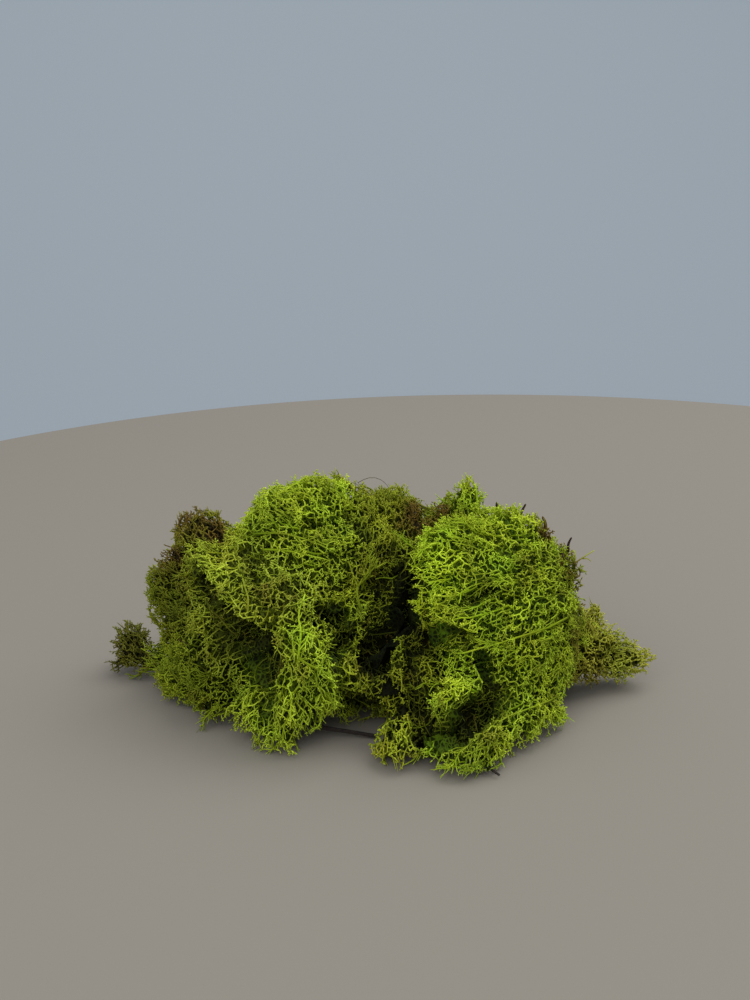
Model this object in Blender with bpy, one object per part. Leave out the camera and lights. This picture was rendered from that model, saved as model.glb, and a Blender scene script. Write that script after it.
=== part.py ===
"""A heap of preserved reindeer lichen, resting on a flat surface.

The heap is a tangle of separate cushions. Each cushion is one closed solid that reaches the tips of its
fine branches. It swells from a seat inside it, over a few round lobes, until it meets its own rim, the
surface below, or the flat contact with the next cushion. Dark twigs of forest litter stick out of it.

Front is -Y, up is +Z, and the origin is on the surface below the middle of the heap. Metres.
"""
import math

import bmesh
import bpy
from mathutils import Matrix, Vector, noise

MM = 0.001

# Driving dimensions, in millimetres
CONTACT_GAP = 0.4
KNOB_SPACING = 11.0
KNOB_HEIGHT = 4.2
ROUGH_SPACING = 5.5
ROUGH_HEIGHT = 1.5
LEAST_SWELL = 5.0
REST_HEIGHT = 0.0
TWIG_SIDES = 7

# Surface finish: colour, roughness
FINISHES = {
    "lime_lichen": ((0.33, 0.43, 0.03), 0.85),
    "olive_lichen": ((0.17, 0.20, 0.03), 0.88),
    "brown_twig": ((0.045, 0.028, 0.018), 0.8),
}

# Each cushion: its finish, its seat, how strongly it pushes against its neighbours, how many points its
# surface has, and its lobes as (x, y, z, radius). Millimetres.
CUSHIONS = {
    "left_crown": ("lime_lichen", (-28, 4, 54), 22, 360, [
        (-30, -2, 63, 17), (-17, 8, 65.5, 14.5), (-41, -4, 58, 13), (-30, 18, 54, 16), (-23, 2, 72, 11),
        (-37, -1, 65, 10), (-16, -2, 58, 15)]),
    "left_fan": ("lime_lichen", (-42, -14, 42), 21, 360, [
        (-46, -20, 46, 15), (-61, -10, 51, 11), (-31, -26, 44, 15), (-35, -30, 33, 11)]),
    "left_tuft": ("olive_lichen", (-64, 7, 37), 18, 360, [
        (-64, 13, 53, 11), (-57, 16, 55, 10), (-53, 14, 57, 9), (-73.5, 9, 40, 11), (-63, -2, 29, 13),
        (-53, -9, 23, 12), (-74, 6, 30, 9.5), (-71, 2, 25, 10.5), (-64, 14, 59, 8)]),
    "lower_left_cushion": ("lime_lichen", (-60, -5, 11), 15, 270, [
        (-67.5, -6, 8, 12), (-53, -14, 10, 13), (-77, 5, 7, 9), (-50, 0, 12, 14), (-52, -23, 5, 12)]),
    "front_left_cushion": ("lime_lichen", (-28, -34, 17), 18, 340, [
        (-29, -38, 16, 14), (-25, -40, 33, 12), (-16, -39, 24, 11), (-40, -33, 8, 10.5),
        (-32, -43, 6, 10)]),
    "middle_left_cushion": ("olive_lichen", (-9, -20, 22), 16, 280, [
        (-10, -24, 28, 15), (-5, -25, 10, 15), (-15, -20, 40, 13), (-12, -33, 7, 13), (-14, -24, 8, 9)]),
    "back_crown": ("olive_lichen", (1, 12, 48), 21, 320, [
        (-5, 11, 62, 14), (10, 17, 60, 14), (-2, -5, 53, 15), (8, 26, 50, 16), (16, 15, 57, 13.5),
        (-12, -1, 58, 14)]),
    "middle_cushion": ("olive_lichen", (9, -32, 18), 12, 250, [
        (10, -25, 27, 12), (8, -36, 16, 12), (8, -54, 4, 12), (10, -19, 36, 10), (17, -55, 4, 10),
        (15, -36, 13, 10)]),
    "right_cushion": ("lime_lichen", (46, -8, 37), 31, 600, [
        (26, -15, 57, 17), (46, -5, 54.5, 18.5), (59, 0, 44.5, 15), (25, -31, 36, 18), (46, -26, 33, 20),
        (61, -8, 27, 15), (46, 8, 22, 22), (24, -38, 23, 13), (42, -34, 20, 15), (58, -18, 19, 13),
        (43, -11, 38, 29.5)]),
    "front_right_cushion": ("lime_lichen", (40, -43, 9), 15, 280, [
        (31, -54, 6, 14), (26, -58, 4, 10), (48, -39, 10, 10.5), (62, -25, 8, 10), (22, -44, 16, 13),
        (27, -40, 20, 11), (24, -51, 4, 11), (55, -31, 8, 10),
        (38, -38, 10, 17)]),
    "top_tuft": ("lime_lichen", (31, 15, 63), 11, 110, [
        (32.5, 14, 68, 7), (33.5, 15, 76.5, 4.5), (27, 16, 60, 9)]),
    "right_fringe": ("olive_lichen", (81, 3, 11), 11, 220, [
        (78, 6, 25.5, 7), (74, 1, 16, 11), (78, 2, 12, 10), (84, 3, 17, 7), (88, 4, 10, 9),
        (96.5, 4, 10.5, 7), (70, -5, 10, 8)]),
    "loose_left_tuft": ("olive_lichen", (-91, 18, 7), 8, 120, [
        (-92, 21, 11, 7), (-94, 14, 6, 7), (-87, 13, 6, 8), (-96, 18, 14, 5)]),
    "back_left_cushion": ("lime_lichen", (-36, 30, 24), 25, 380, [
        (-38, 34, 28, 22), (-56, 26, 16, 14), (-24, 42, 22, 17), (-40, 46, 12, 13)]),
    "back_middle_cushion": ("olive_lichen", (1, 38, 21), 22, 310, [
        (0, 42, 26, 20), (6, 55, 12, 13), (-3, 32, 38, 16)]),
    "back_right_cushion": ("lime_lichen", (45, 34, 23), 24, 370, [
        (45, 34, 28, 23), (64, 25, 17, 15), (30, 47, 18, 16), (52, 49, 10, 11)]),
}

# The bulk of the heap, which the cushions seated in it fill between them, as more lobes. Millimetres.
BULK = [
    (-48, 4, 22, 20), (-26, 6, 30, 27), (3, 8, 26, 27), (30, 4, 30, 28), (50, 4, 24, 22), (-37, -7, 34, 31),
    (-48, -6, 18, 27), (-24, -16, 22, 25), (4, -12, 20, 24)]

# Each twig: the cushion that it sticks in, its thickness at both ends, and the line that it follows from
# its hidden end to its tip. Millimetres.
TWIGS = {
    "front_right_twig": ("front_right_cushion", 1.3, 0.8, [
        (31, -55.2, 3.4), (35.6, -60.2, 2.5), (40, -64.8, 1.5)]),
    "front_twig": ("front_left_cushion", 1.7, 1.3, [
        (-26, -36, 6), (-17, -36.6, 3.6), (-8.5, -37, 2.4), (0.4, -38.3, 1.5)]),
}
SOCKET_CLEARANCE = 0.35
SOCKET_EXTRA_DEPTH = 0.6


def material(name):
    """A plain dry surface in one of the finishes."""
    colour, roughness = FINISHES[name]
    made = bpy.data.materials.get(name) or bpy.data.materials.new(name)
    made.use_nodes = True
    shader = made.node_tree.nodes["Principled BSDF"]
    shader.inputs["Base Color"].default_value = (*colour, 1.0)
    shader.inputs["Roughness"].default_value = roughness
    shader.inputs["Metallic"].default_value = 0.0
    return made


def finish_mesh(bm, name, finish):
    """Turns millimetres into metres and links the closed mesh as one named object."""
    bmesh.ops.scale(bm, vec=(MM, MM, MM), verts=bm.verts)
    bmesh.ops.recalc_face_normals(bm, faces=bm.faces)
    mesh = bpy.data.meshes.new(name)
    bm.to_mesh(mesh)
    bm.free()
    mesh.shade_smooth()
    mesh.set_sharp_from_angle(angle=math.radians(50))
    mesh.materials.append(material(finish))
    made = bpy.data.objects.new(name, mesh)
    bpy.context.scene.collection.objects.link(made)
    return made


def even_ball(count):
    """A closed ball of radius 1 whose points lie evenly along a spiral."""
    turn = math.pi * (3.0 - math.sqrt(5.0))
    bm = bmesh.new()
    for i in range(count):
        height = 1.0 - (2.0 * i + 1.0) / count
        ring = math.sqrt(1.0 - height * height)
        bm.verts.new((ring * math.cos(turn * i), ring * math.sin(turn * i), height))
    bmesh.ops.convex_hull(bm, input=bm.verts)
    return bm


def way_out_of_lobe(seat, way, lobe):
    """How far from the seat a straight way leaves a round lobe, or 0 where it misses it."""
    offset = Vector(lobe[:3]) - seat
    along = offset.dot(way)
    inside = lobe[3] ** 2 - offset.length_squared + along ** 2
    if inside <= 0.0:
        return 0.0
    return max(0.0, along + math.sqrt(inside))


def knob(point, spacing):
    """1 on top of a knob and falling to about 0 between knobs."""
    nearest = noise.voronoi(point / spacing)[0][0]
    return 1.0 - min(1.0, nearest)


def contacts(name):
    """The flat contacts with every other cushion, as (distance from the seat, outward way)."""
    _, seat, push, _, _ = CUSHIONS[name]
    found = []
    for other, (_, other_seat, other_push, _, _) in CUSHIONS.items():
        if other == name:
            continue
        between = Vector(other_seat) - Vector(seat)
        apart = between.length
        share = (apart ** 2 + push ** 2 - other_push ** 2) / (2.0 * apart)
        found.append((share - CONTACT_GAP / 2.0, between / apart))
    return found


def cushion(name):
    """One cushion of lichen as a closed, knobbly solid."""
    finish, seat, _, points, lobes = CUSHIONS[name]
    seat = Vector(seat)
    lobes = lobes + [lobe for lobe in BULK if (Vector(lobe[:3]) - seat).length < lobe[3]]
    walls = contacts(name) + [(seat.z - REST_HEIGHT, Vector((0, 0, -1)))]
    bm = even_ball(points)
    for vert in bm.verts:
        way = vert.co.normalized()
        swell = max(way_out_of_lobe(seat, way, lobe) for lobe in lobes)
        swell = max(swell, LEAST_SWELL)
        tip = seat + way * swell
        swell += KNOB_HEIGHT * (knob(tip, KNOB_SPACING) - 0.5)
        swell += ROUGH_HEIGHT * (knob(tip, ROUGH_SPACING) - 0.5)
        for distance, outward in walls:
            lean = way.dot(outward)
            if lean > 1e-6:
                swell = min(swell, distance / lean)
        vert.co = seat + way * swell
    return finish_mesh(bm, name, finish)


def stick(bm, line, thickness, tip_thickness):
    """A closed stick along a line of points, round and tapered, with its ends square to it."""
    points = [Vector(point) for point in line]
    rings = []
    for i, point in enumerate(points):
        before = points[max(i - 1, 0)]
        after = points[min(i + 1, len(points) - 1)]
        turn = (after - before).to_track_quat("Z", "Y")
        share = i / (len(points) - 1)
        radius = 0.5 * (thickness + (tip_thickness - thickness) * share)
        ring = []
        for side in range(TWIG_SIDES):
            angle = 2.0 * math.pi * side / TWIG_SIDES
            rim = Vector((radius * math.cos(angle), radius * math.sin(angle), 0.0))
            ring.append(bm.verts.new(point + turn @ rim))
        rings.append(ring)
    bm.faces.new(rings[0])
    bm.faces.new(rings[-1])
    for lower, upper in zip(rings, rings[1:]):
        for side in range(TWIG_SIDES):
            other = (side + 1) % TWIG_SIDES
            bm.faces.new((lower[side], lower[other], upper[other], upper[side]))


def twig(name):
    """A twig, and the socket that it leaves in its cushion."""
    holder, thickness, tip_thickness, line = TWIGS[name]
    bm = bmesh.new()
    stick(bm, line, thickness, tip_thickness)
    finish_mesh(bm, name, "brown_twig")

    start = Vector(line[0])
    deeper = start - (Vector(line[1]) - start).normalized() * SOCKET_EXTRA_DEPTH
    bm = bmesh.new()
    wider = 2.0 * SOCKET_CLEARANCE
    stick(bm, [deeper, *line[1:]], thickness + wider, tip_thickness + wider)
    cutter = finish_mesh(bm, name + "_socket", "brown_twig")
    cutter.hide_render = True
    cutter.display_type = "WIRE"
    socket = bpy.data.objects[holder].modifiers.new(name + "_socket", "BOOLEAN")
    socket.operation = "DIFFERENCE"
    socket.object = cutter


def clear_scene():
    for old in list(bpy.data.objects):
        bpy.data.objects.remove(old)


def centre_over_origin():
    """Moves the heap so that the origin is below the middle of its box."""
    meshes = [made.data for made in bpy.data.objects if not made.hide_render]
    points = [vert.co for mesh in meshes for vert in mesh.vertices]
    middle_x = 0.5 * (min(point.x for point in points) + max(point.x for point in points))
    middle_y = 0.5 * (min(point.y for point in points) + max(point.y for point in points))
    shift = Matrix.Translation((-middle_x, -middle_y, 0.0))
    for made in bpy.data.objects:
        made.data.transform(shift)


def main():
    clear_scene()
    for name in CUSHIONS:
        cushion(name)
    for name in TWIGS:
        twig(name)
    centre_over_origin()


main()
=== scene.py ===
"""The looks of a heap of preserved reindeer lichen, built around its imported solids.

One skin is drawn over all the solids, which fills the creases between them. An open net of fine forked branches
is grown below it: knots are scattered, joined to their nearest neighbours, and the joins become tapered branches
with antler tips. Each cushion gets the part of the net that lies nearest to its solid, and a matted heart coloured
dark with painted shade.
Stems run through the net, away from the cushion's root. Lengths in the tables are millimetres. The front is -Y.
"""
import math

import bmesh
import bpy
import numpy as np
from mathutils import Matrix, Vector, kdtree, noise
from mathutils.bvhtree import BVHTree


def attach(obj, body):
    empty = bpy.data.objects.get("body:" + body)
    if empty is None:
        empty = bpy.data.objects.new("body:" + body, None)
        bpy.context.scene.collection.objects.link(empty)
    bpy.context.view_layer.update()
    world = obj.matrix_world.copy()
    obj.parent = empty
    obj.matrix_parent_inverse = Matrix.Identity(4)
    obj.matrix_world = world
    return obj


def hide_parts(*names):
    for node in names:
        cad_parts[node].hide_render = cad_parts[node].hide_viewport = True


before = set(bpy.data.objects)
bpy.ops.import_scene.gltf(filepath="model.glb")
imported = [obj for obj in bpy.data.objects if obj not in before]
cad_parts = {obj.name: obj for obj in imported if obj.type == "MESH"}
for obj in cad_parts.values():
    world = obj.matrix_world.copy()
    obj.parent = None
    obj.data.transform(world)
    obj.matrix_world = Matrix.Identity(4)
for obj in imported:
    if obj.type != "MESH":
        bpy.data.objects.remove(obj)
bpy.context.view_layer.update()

MM = 0.001

# Where the middle of the photographed heap lies, which the tables are measured from, in the frame's origin
MIDDLE = np.array([-1.482, -0.301, 0.0])

# The skin over the whole heap: its grain, and how round it fills the creases
SKIN_GRAIN = 1.2
SKIN_FILL = 5.0

# The net of branches
KNOT_SPACING = 1.08
SPACING_PER_DEPTH = 0.12
NET_DEPTH = 3.7
NET_TOP = 0.7
KNOTS_TRIED = 2.6
CLUMP_SPACING = 5.5
CREASE_DEPTH = 2.5
CREASE_WIDTH = 2.6
HOLLOW_SIZE = 6.5
HOLLOW_DEPTH = 2.4
# Painted shade: how fast the colours darken with the depth of a hollow above them
HOLLOW_PAINTED_SHADE = 0.17
BRANCH_RADIUS = 0.265
RADIUS_PER_DEPTH = 0.02
LEFT_OUT_ALONG = 0.08
LEFT_OUT_ACROSS = 0.3

# The tips: plain ones, and small antlers with prongs
TIP_LENGTH = 1.3
TIP_DEPTH = 1.6
ANTLER_LENGTH = 2.0
ANTLER_SHARE = 0.27

# The matted heart of each cushion; its colour is darkened with painted shade
HEART_DEPTH = 4.3
HEART_ROUGHNESS = 1.3
HEART_SHADED_BRIGHTNESS = 0.7

# The stems that run through the net
STEM_AREA = 45.0
STEM_STEPS = 9
STEM_STEP = 1.7
STEM_RADIUS = 0.46
SHOWN_RADIUS = 0.52

# Each cushion: its slot, its colours, the root that its branches spread from, how wide its net is, and how
# strongly its branches are combed away from the root.
CUSHIONS = {
    "left_crown": ("lime_lichen", "lime", (-6, 16, 42), 1.0, 1.25),
    "left_fan": ("lime_lichen", "yellow", (-20, -8, 44), 1.08, 1.4),
    "left_tuft": ("olive_lichen", "moss", (-42, -8, 22), 0.95, 1.4),
    "lower_left_cushion": ("lime_lichen", "olive", (-42, -8, 6), 0.95, 1.3),
    "front_left_cushion": ("lime_lichen", "lime", (-24, -28, 42), 1.08, 1.35),
    "middle_left_cushion": ("olive_lichen", "olive", (-10, -12, 36), 1.05, 1.25),
    "back_crown": ("olive_lichen", "moss", (2, 4, 34), 0.95, 1.15),
    "middle_cushion": ("olive_lichen", "moss", (10, -16, 24), 1.0, 1.3),
    "right_cushion": ("lime_lichen", "green", (74, 4, 38), 1.0, 1.45),
    "front_right_cushion": ("lime_lichen", "lime", (52, -26, 16), 1.0, 1.35),
    "top_tuft": ("lime_lichen", "lime", (30, 14, 56), 0.9, 1.4),
    "right_fringe": ("olive_lichen", "straw", (74, 4, 12), 0.95, 1.4),
    "loose_left_tuft": ("olive_lichen", "dark", (-84, 12, 5), 1.0, 1.4),
    "back_left_cushion": ("lime_lichen", "lime", (-30, 20, 16), 1.12, 1.2),
    "back_middle_cushion": ("olive_lichen", "moss", (2, 24, 16), 1.12, 1.2),
    "back_right_cushion": ("lime_lichen", "green", (40, 20, 16), 1.12, 1.2),
}

# Colours: deep in the net, in the middle of it, and at the tips. The dark deep colours are partly the inner branches'
# own duller colour and partly painted shade deep in the net.
COLOURS = {
    "lime": ((0.060, 0.095, 0.003), (0.270, 0.380, 0.008), (0.540, 0.690, 0.045)),
    "green": ((0.056, 0.100, 0.003), (0.260, 0.370, 0.007), (0.510, 0.660, 0.038)),
    "yellow": ((0.066, 0.088, 0.004), (0.275, 0.335, 0.009), (0.510, 0.610, 0.052)),
    # olive and moss are darker copies: partly the lichen's own duller colour, partly painted shade on the cushions
    # that lie in shade
    "olive": ((0.032, 0.048, 0.002), (0.150, 0.198, 0.005), (0.390, 0.475, 0.026)),
    "moss": ((0.031, 0.039, 0.002), (0.138, 0.165, 0.006), (0.365, 0.420, 0.026)),
    "straw": ((0.050, 0.052, 0.005), (0.240, 0.250, 0.012), (0.520, 0.540, 0.060)),
    "dark": ((0.020, 0.020, 0.003), (0.080, 0.080, 0.007), (0.210, 0.215, 0.022)),
    "bark": ((0.022, 0.013, 0.008), (0.030, 0.018, 0.010), (0.040, 0.024, 0.014)),
}
# Brown deep in the net and at the tips: the dark deep brown is partly painted shade
BROWN_DEEP = (0.022, 0.013, 0.004)
BROWN_TIP = (0.200, 0.130, 0.022)

# Places where the lichen is brown, as (x, y, z, radius, how brown)
BROWN_PLACES = [
    (-62, 12, 60, 15, 0.65), (-50, 14, 60, 11, 0.6), (-74, 8, 48, 9, 0.6),
    (18, 10, 66, 10, 0.9), (24, 4, 66, 8, 0.6), (58, 0, 62, 10, 0.8), (69, 6, 46, 12, 0.9),
    (72, -2, 30, 9, 0.4), (76, -6, 10, 9, 0.5), (-52, -18, 44, 7, 0.4), (10, -58, 4, 7, 0.3),
    (-96, 18, 6, 6, 0.6), (-30, -42, 4, 6, 0.3), (40, 48, 30, 9, 0.6), (-50, 40, 30, 9, 0.5),
    (69, -9, 53, 7, 1.0), (70, -12, 34, 14, 0.45), (72, -20, 18, 10, 0.4), (-32, -45, 41, 3.5, 0.9), (-33, -34, 52, 8, 0.35), (13, 2, 64, 8, 0.7),
]

# Places where the colour is made paler, or darker where negative, as (x, y, z, radius, share): partly the lichen's
# own fresher and duller patches, partly painted light on lit parts and painted shade on shaded sides and undersides
PAINTED_LIGHT_AND_PALE_PLACES = [
    (18, -25, 56, 19, 0.4), (26, -46, 30, 18, 0.25), (9, -56, 5, 12, 0.7), (-20, -14, 66, 18, 0.05),
    (-68, -4, 42, 22, -0.45), (-58, -24, 14, 22, -0.25), (30, -58, 8, 14, -0.2), (-20, -45, 28, 12, 0.1),
    (-4, -26, 46, 12, 0.2), (66, -14, 44, 18, -0.3), (84, 0, 15, 16, -0.1), (-91, 16, 8, 14, -0.2),
]

# Hollows where the net lies deeper, or ridges where negative: how wide, how much deeper, and a line of points.
# Colours under the hollows get painted shade.
HOLLOWS = {
    "crevice in the centre": (6.0, 11.0, [(11, -14, 62), (11, -19, 53), (8, -23, 42), (2, -30, 36), (0, -37, 29)]),
    "crevice, left part": (5.0, 3.5, [(4, -16, 60), (4, -20, 47), (0, -30, 37)]),
    "right of the middle": (4.5, 5.0, [(11, -29, 40), (13, -36, 30), (14, -51, 17)]),
    "under the fan": (5.5, 8.0, [(-64, -19, 54), (-56, -32, 46), (-44, -36, 38), (-34, -47, 33)]),
    "above the lower left": (10.0, 8.5, [(-54, -35, 32), (-40, -38, 28)]),
    "behind the front left": (5.0, 6.0, [(-15, -30, 46), (-9, -33, 41), (-11, -42, 35)]),
    "beside the front left": (3.8, 4.5, [(-11, -46, 30), (-9, -47, 19)]),
    "left of the front left": (5.5, 7.0, [(-37, -46, 32), (-39, -46, 20), (-38, -49, 13)]),
    "cave": (8.0, 10.0, [(-4, -46, 14), (-5, -36, 6)]),
    "under the right cushion": (7.5, 11.0, [(17, -57, 14), (25, -60, 15), (34, -54, 20), (43, -49, 21)]),
    "above the right lobe": (6.0, 6.0, [(16, -34, 33), (22, -38, 38), (30, -42, 38)]),
    "right groove": (3.4, 4.5, [(23, -38, 50), (38, -35, 54)]),
    "right curl": (3.0, 4.0, [(49, -22, 64), (54, -24, 62), (57, -26, 58)]),
    "right slit": (3.6, 6.0, [(36, -43, 32), (40, -46, 25)]),
    "right edge": (5.0, 4.5, [(69, -8, 54), (68, -18, 51)]),
    "crown holes": (2.8, 4.0, [(-30, -16, 72), (-29, -16, 72)]),
    "crown hole": (2.8, 3.5, [(-19, -13, 70), (-18, -13, 70)]),
    "crown, right part": (3.2, 3.5, [(-8, -4, 70), (0, -10, 66)]),
    "fan top": (3.0, 3.5, [(-47, -17, 62), (-38, -23, 60)]),
    "beak": (4.5, -2.5, [(15, -18, 60), (13, -24, 51), (14, -28, 46)]),
    "right lobe": (6.0, -2.0, [(20, -44, 30), (22, -50, 22), (34, -50, 27)]),
    "fan edge": (4.5, -2.0, [(-60, -16, 58), (-50, -30, 51), (-38, -40, 43)]),
    "front left crest": (5.0, -2.0, [(-24, -46, 42), (-24, -52, 30), (-28, -52, 18)]),
}

# Stems that can be seen, as lines of points in each cushion
SHOWN_STEMS = {
    "left_crown": [[(-42, -13, 66), (-31, -17, 67), (-19, -16, 63), (-12, -16, 58)],
                   [(-38, -18, 62), (-25, -19, 61), (-15, -17, 57)]],
    "left_fan": [[(-57, -31, 44), (-53, -33, 50), (-50, -30, 56)], [(-44, -36, 40), (-42, -36, 48), (-44, -30, 56)]],
    "left_tuft": [[(-62, -26, 46), (-54, -33, 40), (-47, -36, 35)]],
    "front_left_cushion": [[(-25, -51, 34), (-24, -46, 43), (-25, -40, 48), (-22, -35, 53)],
                           [(-25, -50, 36), (-18, -49, 31), (-12, -46, 27)]],
    "middle_left_cushion": [[(-2, -28, 40), (-6, -21, 50), (-9, -16, 56)], [(-6, -21, 50), (-1, -19, 54), (2, -16, 58)]],
    "right_cushion": [[(66, -29, 41), (48, -44, 41), (35, -44, 36), (25, -37, 31)],
                      [(55, -25, 60), (50, -27, 63), (43, -29, 62)],
                      [(44, -38, 50), (30, -42, 46), (18, -38, 44)]],
    "front_right_cushion": [[(65, -30, 13), (53, -45, 16), (42, -55, 16)], [(40, -61, 11), (33, -66, 11), (28, -67, 9)]],
    "right_fringe": [[(80, -6, 23), (77, 0, 28), (76, 6, 31)]],
}

# Loose bits caught in a cushion: dark fibres, needles and stubs, and a pale fork, as colours, radius and points
LOOSE_BITS = {
    "back_crown": [("bark", 0.13, [(-11, 10, 74), (-10, 10, 76), (-7, 10, 77), (-5, 10, 74)]),
                   ("bark", 0.13, [(-6, 12, 76), (-3, 12, 78), (0, 12, 78), (3, 12, 77), (5, 12, 74)])],
    "right_cushion": [("bark", 0.8, [(43, 4, 66), (43, 4, 69), (43, 4, 71)]),
                      ("bark", 0.7, [(51, 2, 66), (52, 2, 69), (53, 2, 71)]),
                      ("bark", 0.9, [(60, 0, 62), (60, 0, 65), (59, 0, 67)]),
                      ("bark", 0.7, [(68, -2, 55), (68, -2, 58), (69, -2, 60)]),
                      ("straw", 0.35, [(70, -4, 51), (74, -4, 54), (77, -4, 56)]),
                      ("straw", 0.30, [(73, -4, 53), (75, -4, 53), (76, -4, 52)])],
    "left_tuft": [("bark", 0.22, [(-68, -22, 30), (-66, -22, 29), (-64, -22, 28)])],
}

# The stage and its light
FLOOR_COLOUR = (0.293, 0.262, 0.220)
WALL_COLOUR = (0.525, 0.580, 0.625)
ROOM_LIGHT = 0.54
LAMPS = (
    ("window", (0.6, 0.35, 1.3), 1.3, 12.5),
    ("fill", (-0.5, -1.1, 1.0), 1.4, 8.5),
)


def unit(vectors):
    """Vectors along the last axis, made one long."""
    return vectors / np.maximum(np.linalg.norm(vectors, axis=-1, keepdims=True), 1e-9)


def smoothstep(value, low, high):
    share = np.clip((value - low) / (high - low), 0.0, 1.0)
    return share * share * (3.0 - 2.0 * share)


def welded(node):
    """The faces of a solid with its split corners joined again."""
    bm = bmesh.new()
    bm.from_mesh(node.data)
    bmesh.ops.remove_doubles(bm, verts=bm.verts, dist=1e-6)
    return bm


def shaped(bm, steps):
    """Points, normals and triangles of a mesh after a list of modifiers with their settings."""
    mesh = bpy.data.meshes.new("shaped")
    bm.to_mesh(mesh)
    bm.free()
    made = bpy.data.objects.new("shaped", mesh)
    bpy.context.scene.collection.objects.link(made)
    for kind, settings in steps:
        modifier = made.modifiers.new(kind, kind)
        for key, value in settings.items():
            setattr(modifier, key, value)
    shown = made.evaluated_get(bpy.context.evaluated_depsgraph_get()).to_mesh()
    shown.calc_loop_triangles()
    points = np.empty(len(shown.vertices) * 3)
    shown.vertices.foreach_get("co", points)
    normals = np.empty(len(shown.vertices) * 3)
    shown.vertex_normals.foreach_get("vector", normals)
    triangles = np.empty(len(shown.loop_triangles) * 3, np.int32)
    shown.loop_triangles.foreach_get("vertices", triangles)
    bpy.data.objects.remove(made)
    return points.reshape(-1, 3) / MM, normals.reshape(-1, 3), triangles.reshape(-1, 3)


def skin_of_heap():
    """One skin over all the cushions: swollen until they join, then shrunk back, which fills the creases."""
    bm = bmesh.new()
    for name in CUSHIONS:
        bm.from_mesh(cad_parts[name].data)
    even = ("REMESH", {"mode": "VOXEL", "voxel_size": SKIN_GRAIN * MM})
    swell = ("DISPLACE", {"strength": SKIN_FILL * MM, "mid_level": 0.0})
    shrink = ("DISPLACE", {"strength": -SKIN_FILL * MM, "mid_level": 0.0})
    return shaped(bm, [even, swell, even, shrink, even, ("SMOOTH", {"iterations": 3})])


def openness(surface, tree):
    """The share of the ways out of each surface point that meet nothing and no ground within 40 mm."""
    points, normals, _ = surface
    count = 18
    height = 1.0 - (2.0 * np.arange(count) + 1.0) / count
    turn = math.pi * (3.0 - math.sqrt(5.0)) * np.arange(count)
    ring = np.sqrt(1.0 - height ** 2)
    ways = np.column_stack([ring * np.cos(turn), ring * np.sin(turn), height])
    way_vectors = [Vector(way) for way in ways]
    facing = normals @ ways.T
    free = np.zeros(len(points))
    for i, row in enumerate(facing):
        start = Vector(points[i] + 0.3 * normals[i])
        for j in np.flatnonzero(row > 0.2):
            way = way_vectors[j]
            if way.z < 0.0 and -start.z / way.z < 40.0:
                continue
            if tree.ray_cast(start, way, 40.0)[3] is None:
                free[i] += row[j]
    return free / np.maximum((facing * (facing > 0.2)).sum(1), 1e-6)


def scatter(surface, own, count, rng):
    """Random places all over the surface: their points, normals and own value."""
    points, normals, triangles = surface
    corners = points[triangles]
    area = 0.5 * np.linalg.norm(np.cross(corners[:, 1] - corners[:, 0], corners[:, 2] - corners[:, 0]), axis=1)
    pick = rng.choice(len(triangles), count, p=area / area.sum())
    share = rng.random((count, 2))
    share[share.sum(1) > 1.0] = 1.0 - share[share.sum(1) > 1.0]
    weight = np.column_stack([share, 1.0 - share.sum(1)])[:, :, None]
    place = (points[triangles[pick]] * weight).sum(1)
    normal = unit((normals[triangles[pick]] * weight).sum(1))
    return place, normal, (own[triangles[pick]] * weight[:, :, 0]).sum(1)


def area_of(surface):
    points, _, triangles = surface
    corners = points[triangles]
    return 0.5 * np.linalg.norm(
        np.cross(corners[:, 1] - corners[:, 0], corners[:, 2] - corners[:, 0]), axis=1).sum()


def tree_of(points):
    tree = kdtree.KDTree(len(points))
    for i, point in enumerate(points):
        tree.insert(point, i)
    tree.balance()
    return tree


def combed(step, way, comb):
    """The length of a step where a step along the way counts comb times less."""
    along = (step * way).sum(-1)
    return np.sqrt(np.maximum((step ** 2).sum(-1) - (1.0 - 1.0 / comb ** 2) * along ** 2, 0.0))


def thinned(points, spacing, growth, comb, rng):
    """Picks points so that none lies nearer to another than its spacing, or comb times that along the growth."""
    tree = tree_of(points)
    gone = np.zeros(len(points), bool)
    kept = []
    for i in rng.permutation(len(points)):
        if gone[i]:
            continue
        kept.append(i)
        found = tree.find_range(points[i], spacing[i] * comb[i])
        near = np.fromiter((j for _, j, _ in found), int, len(found))
        gone[near[combed(points[near] - points[i], growth[i], comb[i]) < spacing[i]]] = True
    return np.array(kept)


def net_edges(net, tree, name, rng):
    """Joins each knot of one cushion to the neighbours that have no third knot between them."""
    own = np.flatnonzero(net["owner"] == list(CUSHIONS).index(name))
    points, growth, comb = net["point"], net["growth"][own], net["comb"][own]
    count = 11
    near = np.array([[j for _, j, _ in tree.find_n(points[i], count + 1)] for i in own])[:, 1:]
    around = points[near]
    out = combed(around - points[own, None], growth[:, None], comb[:, None])
    between = combed(around[:, :, None] - around[:, None], growth[:, None, None], comb[:, None, None])
    blocked = (out[:, None, :] < out[:, :, None]) & (between < 0.98 * out[:, :, None])
    blocked[:, np.arange(count), np.arange(count)] = False
    joined = ~blocked.any(2) & (out < 2.3 * net["spacing"][own, None])
    joined &= net["owner"][own, None] <= net["owner"][near]
    start = np.repeat(own, count)[joined.ravel()]
    edges = np.unique(np.sort(np.column_stack([start, near[joined]]), axis=1), axis=0)
    along = np.abs((unit(points[edges[:, 1]] - points[edges[:, 0]]) * net["growth"][edges[:, 0]]).sum(1))
    left_out = LEFT_OUT_ACROSS + (LEFT_OUT_ALONG - LEFT_OUT_ACROSS) * smoothstep(along, 0.1, 0.8)
    return edges[rng.random(len(edges)) > left_out]


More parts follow.
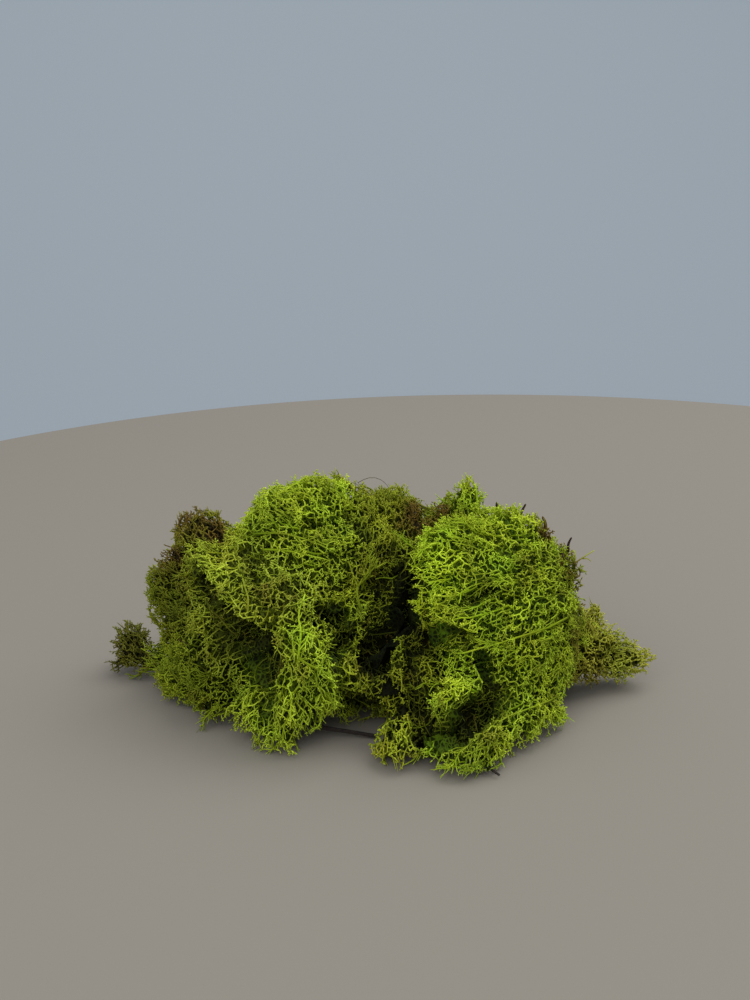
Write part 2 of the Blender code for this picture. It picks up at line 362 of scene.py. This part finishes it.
def strands_of(points, edges):
    """Splits the net into smooth strands: at each knot, the two best aligned joins go on as one."""
    ends = {knot: [] for knot in np.unique(edges).tolist()}
    ways = unit(points[edges[:, 1]] - points[edges[:, 0]])
    for edge, ((first, last), way) in enumerate(zip(edges.tolist(), ways.tolist())):
        ends[first].append((edge, way))
        ends[last].append((edge, [-x for x in way]))
    follows = {}
    for knot, around in ends.items():
        while len(around) > 1:
            pairs = [(a[1][0] * b[1][0] + a[1][1] * b[1][1] + a[1][2] * b[1][2], i, j)
                     for i, a in enumerate(around) for j, b in enumerate(around[:i])]
            turn, i, j = min(pairs)
            if turn > -0.15:
                break
            follows[around[i][0], knot] = around[j][0]
            follows[around[j][0], knot] = around[i][0]
            around = [end for k, end in enumerate(around) if k not in (i, j)]
    used = [False] * len(edges)
    edge_list = edges.tolist()
    strands = []
    starts = [(edge, knot) for edge, pair in enumerate(edge_list) for knot in pair if (edge, knot) not in follows]
    starts += [(edge, pair[0]) for edge, pair in enumerate(edge_list)]
    for edge, knot in starts:
        if used[edge]:
            continue
        line = [knot]
        while edge is not None and not used[edge]:
            used[edge] = True
            first, last = edge_list[edge]
            knot = last if knot == first else first
            line.append(knot)
            edge = follows.get((edge, knot))
        strands.append(line)
    return strands


class Lines:
    """Centre lines of branches, one after the other, with a radius and growth values at each point."""

    def __init__(self):
        self.centre, self.radius, self.growth, self.length = [], [], [], []

    def add(self, centre, radius, growth, lengths):
        self.centre.append(centre)
        self.radius.append(radius)
        self.growth.append(growth)
        self.length.append(lengths)

    def add_rows(self, centre, radius, growth):
        """Adds branches that all have the same number of points: one row each."""
        count, steps = centre.shape[:2]
        self.add(centre.reshape(-1, 3), radius.ravel(), growth.reshape(count * steps, growth.shape[-1]),
                 np.full(count, steps))

    def joined(self):
        length = np.concatenate(self.length)
        return (np.concatenate(self.centre), np.concatenate(self.radius), np.concatenate(self.growth),
                np.repeat(np.arange(len(length)), length))


def along_strands(strands, points, radius, growth, free_end, rng):
    """The centre lines of the strands, thinner towards their ends."""
    length = np.array([len(line) for line in strands])
    knots = np.concatenate(strands).astype(int)
    last = np.cumsum(length) - 1
    first = last - length + 1
    thick = radius[knots].copy()
    thick[first] *= np.where(free_end[knots[first]], 0.6, 0.85)
    thick[last] *= np.where(free_end[knots[last]], 0.6, 0.85)
    own = growth[knots].copy()
    own[:, 2] = np.repeat(rng.random(len(strands)), length)
    return points[knots], thick, own, length


def tubes(centre, radius, growth, strand, sides):
    """Closed tubes round centre lines: points, values, quads and triangles."""
    order = np.arange(len(centre))
    after = np.where(np.append(strand[1:] == strand[:-1], False), order + 1, order)
    before = np.where(np.insert(strand[1:] == strand[:-1], 0, False), order - 1, order)
    way = unit(centre[after] - centre[before])
    first = np.flatnonzero(before == order)
    last = np.flatnonzero(after == order)
    fixed = np.eye(3)[np.abs(way[first]).argmin(1)][strand]
    side = unit(np.cross(way, fixed))
    up = np.cross(side, way)
    angle = 2.0 * math.pi * np.arange(sides) / sides
    ring = np.cos(angle)[None, :, None] * side[:, None] + np.sin(angle)[None, :, None] * up[:, None]
    rings = centre[:, None] + radius[:, None, None] * ring
    start_tip = centre[first] - 0.7 * way[first] * radius[first, None]
    end_tip = centre[last] + 1.2 * way[last] * radius[last, None]
    points = np.concatenate([rings.reshape(-1, 3), start_tip, end_tip])
    values = np.concatenate([np.repeat(growth, sides, axis=0), growth[first], growth[last]])
    span = np.flatnonzero(after != order)[:, None]
    one = np.arange(sides)[None]
    two = (one + 1) % sides
    quads = np.stack([span * sides + one, (span + 1) * sides + one, (span + 1) * sides + two, span * sides + two], -1)
    start = len(centre) * sides + np.arange(len(first))[:, None]
    end = start + len(first)
    starts = np.stack([start + 0 * one, first[:, None] * sides + one, first[:, None] * sides + two], -1)
    ends = np.stack([end + 0 * one, last[:, None] * sides + two, last[:, None] * sides + one], -1)
    return points, values, quads.reshape(-1, 4), np.concatenate([starts.reshape(-1, 3), ends.reshape(-1, 3)])


def away_from_line(points, line):
    """The distance of each point from a line of a few points."""
    line = np.array(line, float) + MIDDLE
    away = np.full(len(points), np.inf)
    for start, end in zip(line[:-1], line[1:]):
        step = end - start
        share = np.clip((points - start) @ step / (step @ step), 0.0, 1.0)
        away = np.minimum(away, np.linalg.norm(points - start - share[:, None] * step, axis=1))
    return away


def hollowness(points):
    """How much deeper the net lies at each point, from the table of hollows."""
    deeper = np.zeros(len(points))
    higher = np.zeros(len(points))
    for radius, depth, line in HOLLOWS.values():
        share = 1.0 - smoothstep(away_from_line(points, line) / radius, 0.45, 1.0)
        deeper = np.maximum(deeper, depth * share)
        higher = np.minimum(higher, depth * share)
    return deeper + higher


def with_hollow_shade_painted(colours, places):
    """Colours with painted shade: darker where a hollow lies above them."""
    return colours * np.exp(-HOLLOW_PAINTED_SHADE * np.maximum(hollowness(places), 0.0))[:, None]


def relief(points, clumps, clump_tree):
    """How far the net lies below the skin at each point: domes with creases between them, and hollows."""
    found = [clump_tree.find_n(point, 2) for point in points]
    nearest = np.array([[hit[2] for hit in pair] for pair in found])
    crease = 1.0 - smoothstep(nearest[:, 1] - nearest[:, 0], 0.0, CREASE_WIDTH)
    uneven = np.array([noise.noise(Vector(point) / HOLLOW_SIZE) for point in points])
    sunk = CREASE_DEPTH * crease + 0.03 * nearest[:, 0] ** 2 + HOLLOW_DEPTH * smoothstep(uneven, 0.1, 0.45)
    return sunk + hollowness(points), clumps[[pair[0][1] for pair in found]]


def heart(name, skin_tree, clumps, clump_tree, rng):
    """The matted heart of a cushion: its solid, sunk below the skin of the heap and roughened, and coloured dark with
    painted shade.
    """
    points, normals, triangles = shaped(welded(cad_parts[name]), [("SUBSURF", {"levels": 1})])
    own = BVHTree.FromPolygons(points.tolist(), triangles.tolist())
    deeper, _ = relief(points, clumps, clump_tree)
    sunk = np.empty_like(points)
    above = np.empty_like(points)
    for i, (point, normal) in enumerate(zip(points, normals)):
        thick = own.ray_cast(Vector(point - 0.1 * normal), Vector(-normal))[3] or 0.0
        above[i], out, _, away = skin_tree.find_nearest(Vector(point))
        rough = HEART_ROUGHNESS * noise.noise(Vector(point) / 2.3)
        need = max(HEART_DEPTH + deeper[i] + rough - away, 0.0)
        sunk[i] = point - 0.1 * normal - np.array(out) * min(need, 0.6 * thick)
    sunk[:, 2] = np.maximum(sunk[:, 2], 0.25)
    values = np.zeros((len(points), 3 + 9))
    values[:, 1:3] = rng.random((len(points), 2))
    # Painted shade: the heart takes the deep colour, dimmed by a factor and darker under hollows
    values[:, 3:] = HEART_SHADED_BRIGHTNESS * with_hollow_shade_painted(np.ravel(COLOURS[CUSHIONS[name][1]]), above)
    return sunk, values, np.empty((0, 4), int), triangles


def brownness(points):
    """How brown the lichen is at each point, from the table and from a cloudy pattern."""
    found = np.zeros(len(points))
    places = points - MIDDLE
    for x, y, z, radius, most in BROWN_PLACES:
        away = np.linalg.norm(places - (x, y, z), axis=1) / radius
        found = np.maximum(found, most * (1.0 - smoothstep(away, 0.55, 1.1)))
    cloudy = np.array([noise.noise(Vector(place) / 9.0) + 0.5 * noise.noise(Vector(place) / 3.5) for place in places])
    return np.clip(found * (1.0 + 1.3 * cloudy) + 0.35 * smoothstep(cloudy, 0.28, 0.6), 0.0, 1.0)


def painted_light_and_paleness(points):
    """How much paler or darker the colour is made at each point, from the table: partly the lichen's own tone, partly
    painted light and shade.
    """
    found = np.ones(len(points))
    for x, y, z, radius, share in PAINTED_LIGHT_AND_PALE_PLACES:
        away = np.linalg.norm(points - MIDDLE - (x, y, z), axis=1) / radius
        found *= 1.0 + share * (1.0 - smoothstep(away, 0.4, 1.1))
    return found


def mesh_object(name, parts):
    """One mesh from several sets of faces, with a map on which every face has its own small square."""
    shift = np.cumsum([0] + [len(part[0]) for part in parts])
    points = np.concatenate([part[0] for part in parts])
    points[:, 2] = np.maximum(points[:, 2], 0.0)
    values = np.concatenate([part[1] for part in parts])
    quads = np.concatenate([part[2] + move for part, move in zip(parts, shift)])
    triangles = np.concatenate([part[3] + move for part, move in zip(parts, shift)])
    mesh = bpy.data.meshes.new(name)
    mesh.vertices.add(len(points))
    mesh.vertices.foreach_set("co", (points * MM).astype(np.float32).ravel())
    corners = np.concatenate([quads.ravel(), triangles.ravel()])
    mesh.loops.add(len(corners))
    mesh.loops.foreach_set("vertex_index", corners.astype(np.int32))
    starts = np.concatenate([np.arange(len(quads)) * 4, quads.size + np.arange(len(triangles)) * 3])
    mesh.polygons.add(len(starts))
    mesh.polygons.foreach_set("loop_start", starts.astype(np.int32))
    mesh.update(calc_edges=True)
    mesh.shade_smooth()

    tipness = values[:, 0]
    # The tint runs from the deep colour to the tip colour towards the skin, which paints shade deep in the net along
    # with the inner branches' own darker colour
    deep, middle, tip = values[:, 3:6], values[:, 6:9], values[:, 9:12]
    tint = deep + (middle - deep) * smoothstep(tipness, 0.0, 0.6)[:, None]
    tint += (tip - middle) * smoothstep(tipness, 0.45, 1.0)[:, None]
    # Painted light and shade from the table of places, with the lichen's own paler and duller patches
    tint *= painted_light_and_paleness(points)[:, None]
    for title, columns in (
            ("tint", np.column_stack([tint, np.ones(len(tint))])),
            ("growth", np.column_stack([tipness, brownness(points), values[:, 1], values[:, 2]]))):
        attribute = mesh.attributes.new(title, "FLOAT_COLOR", "POINT")
        attribute.data.foreach_set("color", columns.astype(np.float32).ravel())

    square = np.array([[0.1, 0.1], [0.9, 0.1], [0.9, 0.9], [0.1, 0.9]])
    across = math.ceil(math.sqrt(len(starts)))
    cell = np.column_stack(np.divmod(np.arange(len(starts)), across))
    places = np.concatenate([(cell[:len(quads), None] + square).reshape(-1, 2),
                             (cell[len(quads):, None] + square[:3]).reshape(-1, 2)]) / across
    mesh.uv_layers.new(name="OFBake").uv.foreach_set("vector", places.astype(np.float32).ravel())
    made = bpy.data.objects.new(name, mesh)
    bpy.context.scene.collection.objects.link(made)
    print("COUNT", name, len(quads) * 2 + len(triangles))
    return made


def heap_net(skin, clear, rng):
    """The knots of the whole heap's net, with their owner, growth, spacing and the colours around them."""
    area = area_of(skin)
    print("AREA", area, len(skin[0]))
    seeds, _, _ = scatter(skin, clear, int(area / 2.0), rng)
    sizes = CLUMP_SPACING * (0.7 + 1.0 * rng.random(len(seeds)))
    clumps = seeds[thinned(seeds, sizes, np.zeros_like(seeds), np.ones(len(seeds)), rng)]
    clump_tree = tree_of(clumps)

    place, normal, open_share = scatter(skin, clear, int(area * NET_DEPTH * KNOTS_TRIED), rng)
    keep = open_share > 0.02
    place, normal, open_share = place[keep], normal[keep], open_share[keep]
    sunk, value = relief(place, rng.random(len(clumps)), clump_tree)
    below = NET_DEPTH * rng.random(len(place)) ** 1.15
    points = place - normal * (NET_TOP + sunk + below)[:, None]
    good = points[:, 2] > 0.3
    points, normal, below, value, place = (x[good] for x in (points, normal, below, value, place))

    samples, owners = [], []
    for index, name in enumerate(CUSHIONS):
        surface = shaped(welded(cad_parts[name]), [("SUBSURF", {"levels": 1})])
        samples.append(surface[0])
        owners += [index] * len(surface[0])
    owners = np.array(owners)
    sample_tree = tree_of(np.concatenate(samples))
    around = owners[np.array([[j for _, j, _ in sample_tree.find_n(point, 7)] for point in points])]
    owner = around[:, 0]
    rows = list(CUSHIONS.values())
    colours = with_hollow_shade_painted(np.array([np.ravel(COLOURS[row[1]]) for row in rows])[around].mean(1), place)
    root = np.array([row[2] for row in rows], float)[owner] + MIDDLE
    spacing = np.array([row[3] for row in rows])[owner] * KNOT_SPACING * (1.0 + SPACING_PER_DEPTH * below)
    comb = np.array([row[4] for row in rows])[owner]
    growth = unit(points - root)
    kept = thinned(points, spacing, growth, comb, rng)
    net = {"point": points, "normal": normal, "below": below, "growth": growth, "spacing": spacing, "comb": comb,
           "owner": owner, "clump": value, "colours": colours}
    return {key: column[kept] for key, column in net.items()}, clumps, clump_tree


def thorns(base, tip, radius, growth, sides=3):
    """Short closed tips, widest beyond their middle: one ring each, between two pointed ends."""
    count = len(base)
    way = unit(tip - base)
    side = unit(np.cross(way, np.eye(3)[np.abs(way).argmin(1)]))
    up = np.cross(side, way)
    angle = 2.0 * math.pi * np.arange(sides) / sides
    ring = np.cos(angle)[None, :, None] * side[:, None] + np.sin(angle)[None, :, None] * up[:, None]
    rings = base[:, None] + 0.6 * (tip - base)[:, None] + radius[:, None, None] * ring
    points = np.concatenate([rings.reshape(-1, 3), base, tip])
    values = np.concatenate([np.repeat(growth, sides, axis=0), growth, growth])
    first = np.arange(count)[:, None] * sides
    one = np.arange(sides)[None]
    two = (one + 1) % sides
    start = count * sides + np.arange(count)[:, None] + 0 * one
    starts = np.stack([start, first + one, first + two], -1)
    ends = np.stack([start + count, first + two, first + one], -1)
    return points, values, np.empty((0, 4), int), np.concatenate([starts.reshape(-1, 3), ends.reshape(-1, 3)])


def spread_tips(base, way, length, radius, values, rng):
    """Plain tips from each base, spread round its way."""
    way = unit(way)
    own = values.copy()
    own[:, 0] = np.clip(own[:, 0] + 0.22, 0, 1)
    own[:, 2] = rng.random(len(base))
    return base - 0.1 * way, base + length[:, None] * way, radius, own


def tips_and_antlers(points, normal, growth, below, free_end, values, radius, rng):
    """Plain tips and small antlers, with three prongs each, on the outer knots and the free ends."""
    def some(share):
        return np.flatnonzero(((below < TIP_DEPTH) | (free_end & (below < 2.0 * TIP_DEPTH)))
                              & (rng.random(len(points)) < share))

    def strewn(count):
        return unit(rng.normal(size=(count, 3)))

    rows = []
    for share, spread in ((0.8, 0.8), (0.5, 1.1)):
        at = some(share)
        way = 0.8 * normal[at] + 0.5 * growth[at] + spread * strewn(len(at))
        length = TIP_LENGTH * (0.5 + 0.8 * rng.random(len(at)))
        rows.append(spread_tips(points[at], way, length, 0.92 * radius[at], values[at], rng))
    at = some(ANTLER_SHARE)
    way = unit(0.7 * normal[at] + 0.7 * growth[at] + 0.6 * strewn(len(at)))
    length = ANTLER_LENGTH * (0.6 + 0.6 * rng.random(len(at)))
    rows.append(spread_tips(points[at], way, length, 1.1 * radius[at], values[at], rng))
    for reach in (0.55, 0.75, 0.9):
        base = points[at] + (reach * length)[:, None] * way
        prong = 0.8 * way + 0.9 * strewn(len(at))
        rows.append(spread_tips(base, prong, 0.6 * length, 1.0 * radius[at], values[at], rng))
    return thorns(*(np.concatenate(parts) for parts in zip(*rows)))


def resampled(line, count):
    """A line of a few points as a smooth row of points."""
    line = np.array(line, float) + MIDDLE
    along = np.append(0.0, np.cumsum(np.linalg.norm(np.diff(line, axis=0), axis=1)))
    row = np.column_stack([np.interp(np.linspace(0.0, along[-1], count), along, axis) for axis in line.T])
    row[1:-1] = 0.25 * row[:-2] + 0.5 * row[1:-1] + 0.25 * row[2:]
    return row


def loose_bits(lines, name):
    """The dark fibres, needles and stubs, and the pale fork, that are caught in a cushion."""
    for colours, radius, line in LOOSE_BITS.get(name, ()):
        row = resampled(line, 7)
        values = np.zeros((1, len(row), 3 + 9))
        values[:, :, :3] = (0.9, 0.5, 0.5)
        values[:, :, 3:] = np.ravel(COLOURS[colours])
        taper = 1.0 - 0.45 * np.linspace(0.0, 1.0, len(row))
        lines.add_rows(row[None], radius * taper[None], values)


def stems(lines, starts, name, skin_tree, rng):
    """Stems that rise from inside and run below the skin, away from the root, forking as they go."""
    count = len(starts)
    root = np.array(CUSHIONS[name][2], float) + MIDDLE
    centre = np.empty((count, STEM_STEPS, 3))
    outward = np.empty((count, STEM_STEPS, 3))
    above = np.empty((count, STEM_STEPS, 3))
    place = starts
    heading = None
    for step in range(STEM_STEPS):
        hits = [skin_tree.find_nearest(Vector(point)) for point in place]
        on = np.array([tuple(hit[0]) for hit in hits])
        out = np.array([tuple(hit[1]) for hit in hits])
        depth = 3.4 - 2.6 * smoothstep(np.full(count, step / (STEM_STEPS - 1)), 0.0, 0.8)
        centre[:, step] = on - out * (depth + hollowness(on))[:, None]
        outward[:, step] = out
        above[:, step] = on
        away = unit(on - root)
        away = unit(away - 0.85 * out * (away * out).sum(1, keepdims=True))
        wander = 0.35 * rng.normal(size=away.shape)
        heading = unit(away + wander if heading is None else 0.6 * heading + 0.5 * away + 0.5 * wander)
        place = on + STEM_STEP * heading
    share = np.linspace(0.0, 1.0, STEM_STEPS)[None]
    thick = STEM_RADIUS * (0.75 + 0.5 * rng.random((count, 1))) * (1.0 - 0.55 * share)
    for line in SHOWN_STEMS.get(name, ()):
        hits = [skin_tree.find_nearest(Vector(point)) for point in resampled(line, STEM_STEPS)]
        on = np.array([tuple(hit[0]) for hit in hits])
        out = np.array([tuple(hit[1]) for hit in hits])
        centre = np.append(centre, [on - out * (1.5 + 0.6 * hollowness(on))[:, None]], axis=0)
        outward = np.append(outward, [out], axis=0)
        above = np.append(above, [on], axis=0)
        thick = np.append(thick, SHOWN_RADIUS * (1.0 - 0.45 * share), axis=0)
    count = len(centre)
    values = np.zeros((count, STEM_STEPS, 3 + 9))
    values[:, :, 0] = 0.45 + 0.35 * share
    values[:, :, 1:3] = rng.random((count, 1, 2))
    colours = with_hollow_shade_painted(np.ravel(COLOURS[CUSHIONS[name][1]]), above.reshape(-1, 3))
    values[:, :, 3:] = colours.reshape(count, STEM_STEPS, -1)
    lines.add_rows(centre, thick, values)
    lighter = np.eye(1, 3 + 9)

    for step in range(1, STEM_STEPS - 1):
        along = unit(centre[:, step + 1] - centre[:, step - 1])
        across = unit(np.cross(outward[:, step], along))
        for turn in (-1.0, 1.0):
            grown = rng.random(count) < 0.36
            way = unit(along + turn * (0.4 + 0.9 * rng.random((count, 1))) * across + 0.3 * outward[:, step])
            length = (1.6 + 3.4 * rng.random((count, 1))) * (1.15 - 0.4 * step / STEM_STEPS)
            base = centre[:, step]
            bend = 0.5 * along + 0.35 * outward[:, step] + 0.3 * rng.normal(size=along.shape)
            middle = base + 0.5 * length * way
            end = middle + 0.5 * length * unit(way + bend)
            rows = np.stack([base, middle, end], 1)[grown]
            radii = thick[:, step, None][grown] * np.array([[0.72, 0.58, 0.34]])
            own_values = values[:, step:step + 1][grown] + np.array([0.0, 0.12, 0.3])[None, :, None] * lighter
            lines.add_rows(rows, radii, np.clip(own_values, 0.0, 1.0))
            fork = unit(along - 0.5 * turn * across + 0.5 * rng.normal(size=along.shape))
            forked = grown & (rng.random(count) < 0.6)
            rows = np.stack([middle, middle + 0.4 * length * fork], 1)[forked]
            radii = thick[:, step, None][forked] * np.array([[0.5, 0.32]])
            own_values = values[:, step:step + 1][forked] + np.array([0.15, 0.3])[None, :, None] * lighter
            lines.add_rows(rows, radii, np.clip(own_values, 0.0, 1.0))


def lichen_cushion(name, net, tree, skin_tree, clumps, clump_tree, seed):
    """One cushion as a mesh of branches and its heart, in the place of its solid."""
    slot = CUSHIONS[name][0]
    rng = np.random.default_rng(seed)
    edges = net_edges(net, tree, name, rng)
    points = net["point"]
    joins = np.bincount(edges.ravel(), minlength=len(points))
    used = np.flatnonzero((joins > 0) & (net["owner"] == list(CUSHIONS).index(name)))
    below = net["below"]
    radius = (BRANCH_RADIUS + RADIUS_PER_DEPTH * below) * (0.8 + 0.4 * rng.random(len(points)))
    values = np.column_stack([1.0 - below / NET_DEPTH, net["clump"], rng.random(len(points)), net["colours"]])
    lines = Lines()
    lines.add(*along_strands(strands_of(points, edges), points, radius, values, joins == 1, rng))
    tips = tips_and_antlers(points[used], net["normal"][used], net["growth"][used], below[used],
                            joins[used] == 1, values[used], radius[used], rng)
    outer = used[below[used] < TIP_DEPTH]
    count = max(3, int(len(outer) * KNOT_SPACING ** 2 / STEM_AREA))
    stems(lines, points[rng.choice(outer, count, replace=False)], name, skin_tree, rng)
    loose_bits(lines, name)
    core = heart(name, skin_tree, clumps, clump_tree, rng)
    made = mesh_object(name + "_branches", [tubes(*lines.joined(), 3), tips, core])
    made.data.materials.append(lichen_material(slot + "_net"))
    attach(made, "root")
    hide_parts(name)


def new_material(name):
    made = bpy.data.materials.new(name)
    made.use_nodes = True
    return made, made.node_tree, made.node_tree.nodes["Principled BSDF"]


def node(tree, kind, links=(), **settings):
    """A new node with its settings, and links from (socket) to its named inputs."""
    made = tree.nodes.new(kind)
    for key, value in settings.items():
        setattr(made, key, value)
    for socket, entry in links:
        tree.links.new(socket, made.inputs[entry])
    return made


def colour_ramp(tree, factor, stops):
    made = node(tree, "ShaderNodeValToRGB", [(factor, "Fac")])
    elements = made.color_ramp.elements
    elements[0].position, elements[0].color = stops[0][0], (*stops[0][1], 1)
    elements[1].position, elements[1].color = stops[-1][0], (*stops[-1][1], 1)
    for place, colour in stops[1:-1]:
        elements.new(place).color = (*colour, 1)
    return made.outputs["Color"]


def mapped(tree, value, low, high):
    """A value of 0 to 1 spread from low to high."""
    made = node(tree, "ShaderNodeMapRange", [(value, "Value")])
    made.inputs["To Min"].default_value = low
    made.inputs["To Max"].default_value = high
    return made.outputs["Result"]


def lichen_material(title):
    """The tint of the net, a little different from clump to clump, and brown in places."""
    if title in bpy.data.materials:
        return bpy.data.materials[title]
    made, tree, shader = new_material(title)
    tint = node(tree, "ShaderNodeAttribute", attribute_name="tint").outputs["Color"]
    growth = node(tree, "ShaderNodeAttribute", attribute_name="growth")
    parts = node(tree, "ShaderNodeSeparateColor", [(growth.outputs["Color"], "Color")])
    tipness, brown, clump = (parts.outputs[key] for key in ("Red", "Green", "Blue"))
    place = node(tree, "ShaderNodeTexCoord").outputs["Object"]
    cloud = node(tree, "ShaderNodeTexNoise", [(place, "Vector")])
    cloud.inputs["Scale"].default_value = 95.0
    cloud.inputs["Detail"].default_value = 3.0
    varied = node(tree, "ShaderNodeHueSaturation", [
        (tint, "Color"), (mapped(tree, cloud.outputs["Fac"], 0.465, 0.53), "Hue"),
        (mapped(tree, clump, 0.82, 1.15), "Value")])
    strand = node(tree, "ShaderNodeHueSaturation", [
        (varied.outputs["Color"], "Color"), (mapped(tree, growth.outputs["Alpha"], 0.8, 1.2), "Value")])
    matted = node(tree, "ShaderNodeTexVoronoi", [(place, "Vector")], feature="DISTANCE_TO_EDGE")
    matted.inputs["Scale"].default_value = 620.0
    felt = node(tree, "ShaderNodeMapRange", [(matted.outputs["Distance"], "Value")])
    for entry, value in (("From Min", 0.05), ("From Max", 0.22), ("To Min", 2.2), ("To Max", 0.35)):
        felt.inputs[entry].default_value = value
    on_heart = node(tree, "ShaderNodeMath", [(tipness, 0)], operation="LESS_THAN")
    on_heart.inputs[1].default_value = 0.001
    browner = colour_ramp(tree, tipness, [(0.0, BROWN_DEEP), (0.3, BROWN_DEEP), (1.0, BROWN_TIP)])
    felted = node(tree, "ShaderNodeHueSaturation", [
        (strand.outputs["Color"], "Color"), (felt.outputs["Result"], "Value"), (on_heart.outputs[0], "Fac")])
    mixed = node(tree, "ShaderNodeMix", data_type="RGBA")
    tree.links.new(brown, mixed.inputs["Factor"])
    tree.links.new(felted.outputs["Color"], mixed.inputs["A"])
    tree.links.new(browner, mixed.inputs["B"])
    tree.links.new(mixed.outputs["Result"], shader.inputs["Base Color"])
    shader.inputs["Roughness"].default_value = 0.8
    shader.inputs["Specular IOR Level"].default_value = 0.12
    return made


def bark_material():
    """Dark, finely wrinkled bark."""
    made, tree, shader = new_material("bark")
    place = node(tree, "ShaderNodeTexCoord").outputs["Object"]
    grain = node(tree, "ShaderNodeTexNoise", [(place, "Vector")])
    grain.inputs["Scale"].default_value = 900.0
    grain.inputs["Detail"].default_value = 5.0
    colour = colour_ramp(tree, grain.outputs["Fac"], [(0.3, (0.006, 0.004, 0.003)), (0.75, (0.034, 0.021, 0.013))])
    tree.links.new(colour, shader.inputs["Base Color"])
    bump = node(tree, "ShaderNodeBump", [(grain.outputs["Fac"], "Height")])
    bump.inputs["Distance"].default_value = 0.00025
    tree.links.new(bump.outputs["Normal"], shader.inputs["Normal"])
    shader.inputs["Roughness"].default_value = 0.85
    return made


def stage_and_light():
    """A plain pale round table, a plain wall behind it, and soft light."""
    def plain(name, colour):
        made, _, shader = new_material(name)
        shader.inputs["Base Color"].default_value = (*colour, 1)
        shader.inputs["Roughness"].default_value = 0.9
        shader.inputs["Specular IOR Level"].default_value = 0.2
        return made

    bpy.ops.mesh.primitive_circle_add(vertices=256, radius=0.4536, fill_type="NGON", location=(0.0772, -0.0025, 0))
    floor = bpy.context.object
    floor.name = "floor"
    floor.data.materials.append(plain("cloth", FLOOR_COLOUR))
    bpy.ops.mesh.primitive_plane_add(size=8, location=(0, 2.2, 0), rotation=(math.radians(90), 0, 0))
    backdrop = bpy.context.object
    backdrop.name = "backdrop"
    backdrop.data.materials.append(plain("wall_paint", WALL_COLOUR))

    world = bpy.data.worlds.new("room")
    bpy.context.scene.world = world
    world.use_nodes = True
    world.node_tree.nodes["Background"].inputs["Color"].default_value = (0.88, 0.94, 1.0, 1)
    world.node_tree.nodes["Background"].inputs["Strength"].default_value = ROOM_LIGHT
    for name, place, size, power in LAMPS:
        lamp = bpy.data.lights.new(name, "AREA")
        lamp.size = size
        lamp.energy = power
        made = bpy.data.objects.new(name, lamp)
        made.location = place
        made.rotation_euler = (Vector((0, 0, 0.03)) - Vector(place)).to_track_quat("-Z", "Y").to_euler()
        bpy.context.scene.collection.objects.link(made)


def camera():
    made = bpy.data.objects.new("camera", bpy.data.cameras.new("camera"))
    made.data.sensor_width = 36.0
    made.data.lens = 50.0
    made.location = (-0.001482, -0.462301, 0.2253)
    made.rotation_euler = (math.radians(90 - 18.2), 0, 0)
    bpy.context.scene.collection.objects.link(made)
    bpy.context.scene.camera = made


skin = skin_of_heap()
skin_tree = BVHTree.FromPolygons(skin[0].tolist(), skin[2].tolist())
net, clumps, clump_tree = heap_net(skin, openness(skin, skin_tree), np.random.default_rng(7))
knot_tree = tree_of(net["point"])
for index, cushion in enumerate(CUSHIONS):
    lichen_cushion(cushion, net, knot_tree, skin_tree, clumps, clump_tree, 100 + index)
for twig in ("front_right_twig", "front_twig"):
    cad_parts[twig].data.materials.clear()
    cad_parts[twig].data.materials.append(bark_material())
stage_and_light()
camera()
bpy.context.scene.view_settings.view_transform = "Standard"
